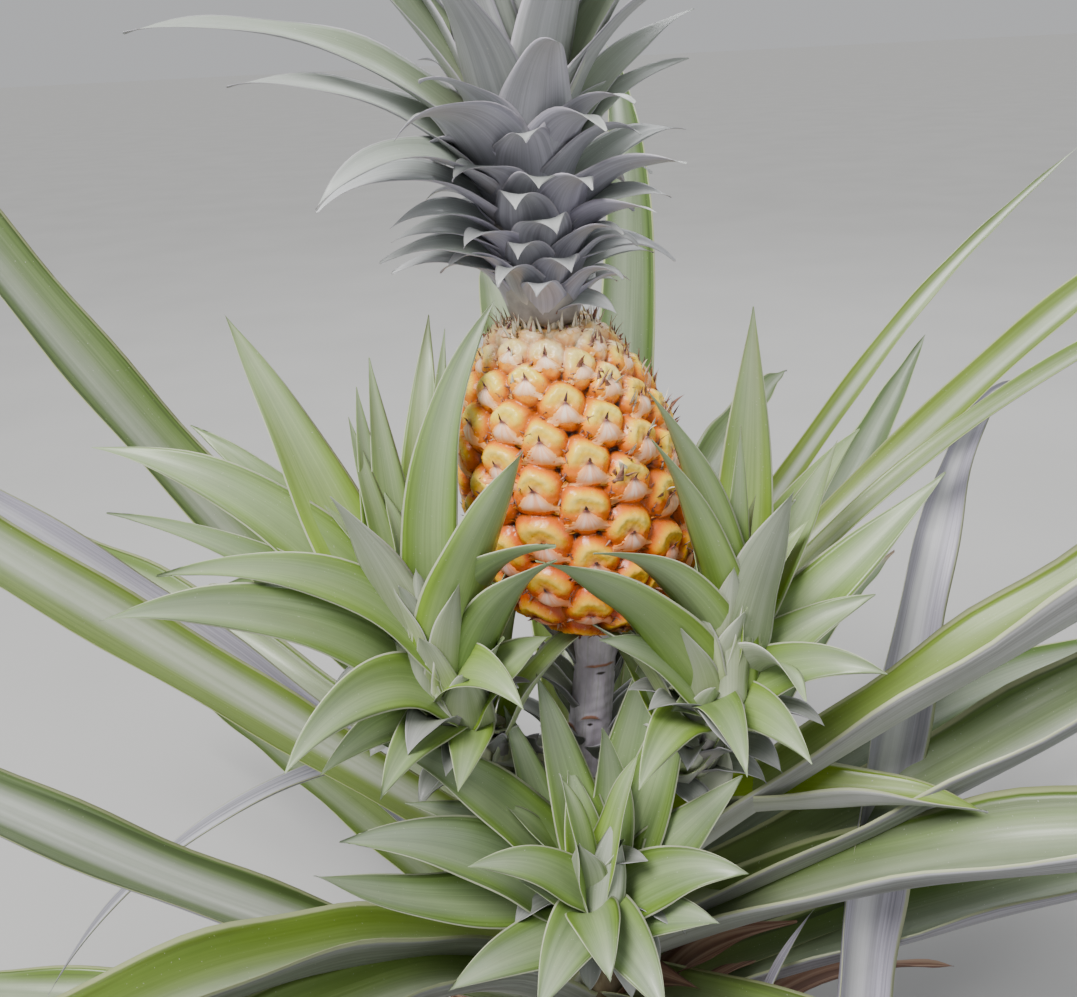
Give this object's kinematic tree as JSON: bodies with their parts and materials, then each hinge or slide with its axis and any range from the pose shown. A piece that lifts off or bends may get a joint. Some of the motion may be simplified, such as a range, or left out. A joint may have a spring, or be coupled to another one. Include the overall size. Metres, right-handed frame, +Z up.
{
  "type": "pineapple plant",
  "caption": "Fruiting pineapple plant: a short stem with a rosette of long arching strap leaves, a ripe crowned fruit on a waxy stalk, and plantlets under the fruit.",
  "frame": {"origin": "middle of the flat cut under the stem, at ground level", "axes": "+Z up along the stem; the picture looks along +Y and a little down, with +X to its right"},
  "size_m": [1.4757, 1.2968, 0.9064],
  "materials": {
    "stem": "matt brown-green stem wrapped in pale dry leaf bases",
    "stalk": "waxy lavender-grey fruit stalk with crescent scars",
    "fruit_rind": "ripe golden to orange rind of rounded eyes with pale waxy bracts and brown tips",
    "crown_leaf": "grey-green leaves with a silvery bloom and pale recurved tips",
    "slip_leaf": "yellow-green upper face, silvery grey-green under face, pale margins",
    "strap_leaf": "satin green channelled upper face, lavender-grey striped under face, pale margins"
  },
  "bodies": {
    "root": {"crown": "crown_leaf", "fruit": "fruit_rind", "fruit_stalk": "stalk", "leaf_a": "strap_leaf", "leaf_b1": "strap_leaf", "leaf_b2": "strap_leaf", "leaf_c": "strap_leaf", "leaf_d_inner": "strap_leaf", "leaf_d_outer": "strap_leaf", "leaf_e2_inner": "strap_leaf", "leaf_e2_outer": "strap_leaf", "leaf_e_inner": "strap_leaf", "leaf_e_outer": "strap_leaf", "leaf_f": "strap_leaf", "leaf_g": "strap_leaf", "leaf_h": "strap_leaf", "leaf_i_inner": "strap_leaf", "leaf_i_outer": "strap_leaf", "leaf_j": "strap_leaf", "leaf_l1": "strap_leaf", "leaf_l2": "strap_leaf", "leaf_l3": "strap_leaf", "leaf_l4": "strap_leaf", "leaf_m": "strap_leaf", "leaf_n": "strap_leaf", "leaf_p": "strap_leaf", "leaf_r1": "strap_leaf", "leaf_r10": "strap_leaf", "leaf_r2": "strap_leaf", "leaf_r3": "strap_leaf", "leaf_r4": "strap_leaf", "leaf_r5": "strap_leaf", "leaf_r6": "strap_leaf", "leaf_r7": "strap_leaf", "leaf_r8": "strap_leaf", "leaf_r9": "strap_leaf", "leaf_s1": "strap_leaf", "leaf_s2": "strap_leaf", "leaf_s3": "strap_leaf", "leaf_s4": "strap_leaf", "leaf_s5": "strap_leaf", "leaf_s6": "strap_leaf", "leaf_s7": "strap_leaf", "leaf_s8": "strap_leaf", "slip_front": "slip_leaf", "slip_left": "slip_leaf", "slip_right": "slip_leaf", "stem": "stem", "sucker_leaf_k_inner": "strap_leaf", "sucker_leaf_k_outer": "strap_leaf", "sucker_leaf_q": "strap_leaf", "sucker_leaf_u1": "strap_leaf", "sucker_leaf_u2": "strap_leaf", "sucker_leaf_u3": "strap_leaf", "sucker_leaf_u4": "strap_leaf", "sucker_shoot": "stem"}
  },
  "joints": []
}
